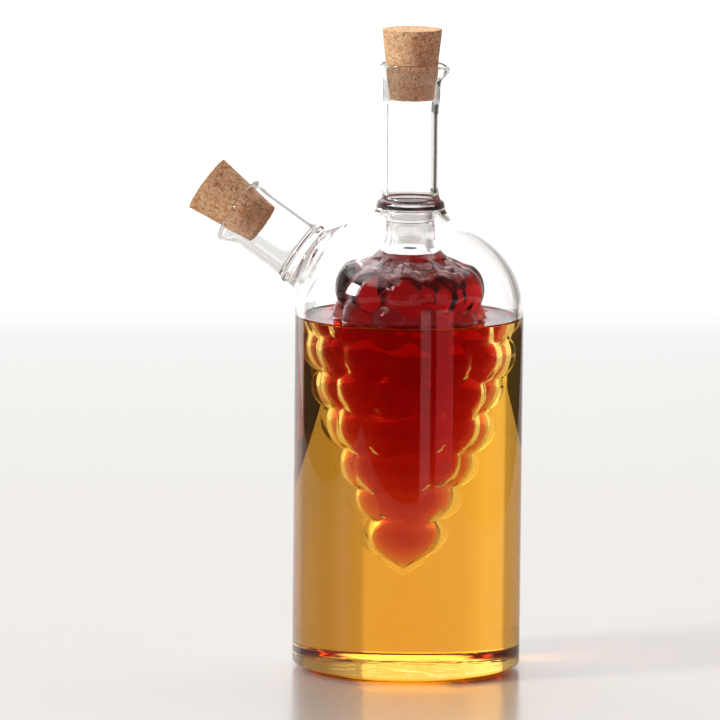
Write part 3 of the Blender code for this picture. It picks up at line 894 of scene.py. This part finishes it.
def floor():
    mat, nt, out = new_material("table")
    p = nt.nodes.new("ShaderNodeBsdfPrincipled")
    p.inputs["Roughness"].default_value = 0.22
    p.inputs["Specular IOR Level"].default_value = 0.8
    coord = nt.nodes.new("ShaderNodeTexCoord")
    # painted light and shade: the table's colour goes from warmer and darker near the front to paler and cooler at the
    # far edge
    away = nt.nodes.new("ShaderNodeVectorMath")
    away.operation = "DOT_PRODUCT"
    away.inputs[1].default_value = tuple((AHEAD - 0.063 * RIGHT))
    nt.links.new(coord.outputs["Object"], away.inputs[0])
    mix = nt.nodes.new("ShaderNodeValToRGB")
    stops = [
        (0.02, (0.470, 0.420, 0.382)), (0.36, (0.456, 0.428, 0.392)), (0.62, (0.455, 0.452, 0.420)),
        (0.80, (0.476, 0.492, 0.464)), (0.876, (0.60, 0.635, 0.605)),
    ]
    els = mix.color_ramp.elements
    while len(els) < len(stops):
        els.new(0.5)
    for e, (a, v) in zip(els, stops):
        e.position = a
        e.color = (*v, 1)
    nt.links.new(away.outputs["Value"], mix.inputs[0])
    # painted shade: the table's colour darkens softly to the right, away from the light
    side = nt.nodes.new("ShaderNodeVectorMath")
    side.operation = "DOT_PRODUCT"
    side.inputs[1].default_value = tuple(RIGHT)
    nt.links.new(coord.outputs["Object"], side.inputs[0])
    dim = nt.nodes.new("ShaderNodeMapRange")
    dim.interpolation_type = "SMOOTHSTEP"
    dim.inputs["From Min"].default_value = 0.07
    dim.inputs["From Max"].default_value = 0.26
    dim.inputs["To Min"].default_value = 1.0
    dim.inputs["To Max"].default_value = 0.90
    nt.links.new(side.outputs["Value"], dim.inputs["Value"])
    shade = nt.nodes.new("ShaderNodeMixRGB")
    shade.blend_type = "MULTIPLY"
    shade.inputs[0].default_value = 1.0
    nt.links.new(mix.outputs[0], shade.inputs[1])
    nt.links.new(dim.outputs[0], shade.inputs[2])
    nt.links.new(shade.outputs[0], p.inputs["Base Color"])
    nt.links.new(p.outputs[0], out.inputs["Surface"])
    mesh = bpy.data.meshes.new("table_top")
    c = [(-450, -420), (340, -420), (340, 894), (-450, 844)]
    pts = [tuple((RIGHT * x + AHEAD * y) * MM) for x, y in c]
    mesh.from_pydata(pts, [], [(0, 1, 2, 3)])
    ob = bpy.data.objects.new("table_top", mesh)
    scene.collection.objects.link(ob)
    mesh.materials.append(mat)
    return ob


floor()


def world():
    w = bpy.data.worlds.new("studio")
    scene.world = w
    w.use_nodes = True
    nt = w.node_tree
    nt.nodes.clear()
    n = nt.nodes

    def value(op, a, b=None):
        m = n.new("ShaderNodeMath")
        m.operation = op
        for k, x in enumerate((a, b)):
            if x is None:
                continue
            if isinstance(x, (int, float)):
                m.inputs[k].default_value = x
            else:
                nt.links.new(x, m.inputs[k])
        return m.outputs[0]

    def step(x, lo, hi, a=0.0, b=1.0):
        m = n.new("ShaderNodeMapRange")
        m.interpolation_type = "SMOOTHSTEP"
        m.inputs["From Min"].default_value = lo
        m.inputs["From Max"].default_value = hi
        m.inputs["To Min"].default_value = a
        m.inputs["To Max"].default_value = b
        nt.links.new(x, m.inputs["Value"])
        return m.outputs[0]

    def dot(vec, v):
        m = n.new("ShaderNodeVectorMath")
        m.operation = "DOT_PRODUCT"
        nt.links.new(vec, m.inputs[0])
        m.inputs[1].default_value = tuple(v)
        return m.outputs["Value"]

    coord = n.new("ShaderNodeTexCoord").outputs["Generated"]
    x, y, z = dot(coord, RIGHT), dot(coord, AHEAD), dot(coord, (0, 0, 1))
    az = value("MULTIPLY", value("ARCTAN2", x, y), 180 / math.pi)  # 0 ahead, + right
    el = value("MULTIPLY", value("ARCSINE", z), 180 / math.pi)
    back = value("MULTIPLY", step(az, -48, -44), step(az, 14, 16, 1, 0))
    back = value("MULTIPLY", back, step(el, 40, 60, 1, 0))
    ramp = n.new("ShaderNodeValToRGB")
    ramp.color_ramp.interpolation = "EASE"
    stops = [
        (-180, 0.05), (-140, 0.05), (-125, 0.06), (-95, 0.10), (-76, 0.40), (-62, 0.60), (-48, 0.60),
        (16, 0.60), (25, 0.46), (33, 0.34), (50, 0.33), (60, 0.10), (110, 0.06), (180, 0.05),
    ]
    els = ramp.color_ramp.elements
    while len(els) < len(stops):
        els.new(0.5)
    for e, (a, v) in zip(els, stops):
        e.position = (a + 180) / 360
        e.color = (v, v, v, 1)
    pos = value("ADD", value("DIVIDE", az, 360.0), 0.5)
    nt.links.new(pos, ramp.inputs[0])
    sep = n.new("ShaderNodeSeparateColor")
    nt.links.new(ramp.outputs[0], sep.inputs[0])
    room = value("MULTIPLY", sep.outputs[0], step(el, -7.8, -7.2, 0.12, 1.0))
    sky = value("MULTIPLY", step(el, 36, 58, 0.0, 3.4), step(y, 0.0, 0.45))
    # just above the table it is paler next to the backdrop and dark beyond
    low = value("MULTIPLY", step(az, 28, 34, 0.95, 0.08), step(az, -52, -47, 0.10, 1.0))
    near = value("MULTIPLY", step(el, -7.8, -7.7), step(el, -5.2, -4.6, 1, 0))
    room = value("ADD", value("MULTIPLY", room, value("SUBTRACT", 1.0, near)), value("MULTIPLY", low, near))
    # plain grey below the table's level, and level with it on the left
    room = value("MAXIMUM", room, step(el, -12.0, -11.0, 0.6, 0.0))
    grey = value("MULTIPLY", step(az, -118, -110), step(az, -70, -64, 1, 0))
    grey = value("MULTIPLY", grey, value("MULTIPLY", step(el, -7.0, -6.0), step(el, 2, 6, 1, 0)))
    room = value("MAXIMUM", room, value("MULTIPLY", grey, 0.6))
    total = value("MAXIMUM", room, sky)
    back = value("MULTIPLY", back, value("MULTIPLY", step(az, -32, -18, 1.75, 1.35), step(el, 14, 24, 1.0, 1.8)))
    total = value("MAXIMUM", total, back)
    # broad light from high on the left
    key = value("MULTIPLY", step(az, -148, -132), step(az, -92, -78, 1, 0))
    key = value("MULTIPLY", key, value("MULTIPLY", step(el, 36, 42), step(el, 62, 70, 1, 0)))
    total = value("MAXIMUM", total, value("MULTIPLY", key, 1.8))
    # a soft box on the left
    box = value("MULTIPLY", step(az, -119.5, -117), step(az, -107.5, -105, 1, 0))
    box = value("MULTIPLY", box, value("MULTIPLY", step(el, 22, 24), step(el, 33, 36, 1, 0)))
    total = value("MAXIMUM", total, value("MULTIPLY", box, 56.0))
    # a window of two panes, in front on the right
    pane1 = value("MULTIPLY", step(az, 157.5, 158.5), step(az, 167.5, 168.5, 1, 0))
    pane2 = value("MULTIPLY", step(az, 134, 136), step(az, 151.5, 152.5, 1, 0))
    pane = value("MULTIPLY", value("ADD", value("MULTIPLY", pane1, 0.6), pane2), value("MULTIPLY", step(el, -10.6, -9.6), step(el, 4, 12, 1, 0)))
    mix = n.new("ShaderNodeMix")
    mix.data_type = "RGBA"
    nt.links.new(pane, mix.inputs[0])
    warm = n.new("ShaderNodeMix")  # the room on the right is browner
    warm.data_type = "RGBA"
    nt.links.new(value("MULTIPLY", step(az, 18, 26), value("MULTIPLY", step(az, 56, 70, 1, 0), step(el, 26, 36, 1, 0))), warm.inputs[0])
    warm.inputs[6].default_value = (1, 1, 1, 1)
    warm.inputs[7].default_value = (1.0, 0.88, 0.76, 1)
    nt.links.new(warm.outputs[2], mix.inputs[6])
    mix.inputs[7].default_value = (1.0, 0.12, 0.14, 1)
    total = value("MAXIMUM", total, value("MULTIPLY", pane, 2.2))
    bg = n.new("ShaderNodeBackground")
    nt.links.new(mix.outputs[2], bg.inputs["Color"])
    nt.links.new(total, bg.inputs["Strength"])
    out = n.new("ShaderNodeOutputWorld")
    nt.links.new(bg.outputs[0], out.inputs["Surface"])


world()


def camera():
    cam = bpy.data.objects.new("camera", bpy.data.cameras.new("camera"))
    scene.collection.objects.link(cam)
    scene.camera = cam
    cam.data.sensor_width = 36.0
    cam.data.lens = 451.7
    cam.data.clip_start, cam.data.clip_end = 0.1, 50.0
    yaw, pitch, roll = (math.radians(v) for v in (0.313, 7.99, 0.55))
    f = AHEAD * math.cos(yaw) - RIGHT * math.sin(yaw)
    r = RIGHT * math.cos(yaw) + AHEAD * math.sin(yaw)
    up = np.array([0, 0, 1.0])
    f2 = f * math.cos(pitch) - up * math.sin(pitch)
    u2 = up * math.cos(pitch) + f * math.sin(pitch)
    r3 = r * math.cos(roll) + u2 * math.sin(roll)
    u3 = -r * math.sin(roll) + u2 * math.cos(roll)
    m = Matrix((r3, u3, -f2)).transposed().to_4x4()
    m.translation = (2.937 * math.sin(AZ), -2.937 * math.cos(AZ), 0.514)
    cam.matrix_world = m


camera()

scene.view_settings.view_transform = "Standard"
scene.view_settings.look = "None"
c = scene.cycles
c.use_denoising = True
c.denoiser = "OPENIMAGEDENOISE"
c.max_bounces = 48
c.transmission_bounces = 48
c.glossy_bounces = 24
c.diffuse_bounces = 3
c.transparent_max_bounces = 16
c.caustics_reflective = True
c.caustics_refractive = True
c.sample_clamp_indirect = 8.0
c.blur_glossy = 0.0
scene.render.film_transparent = False
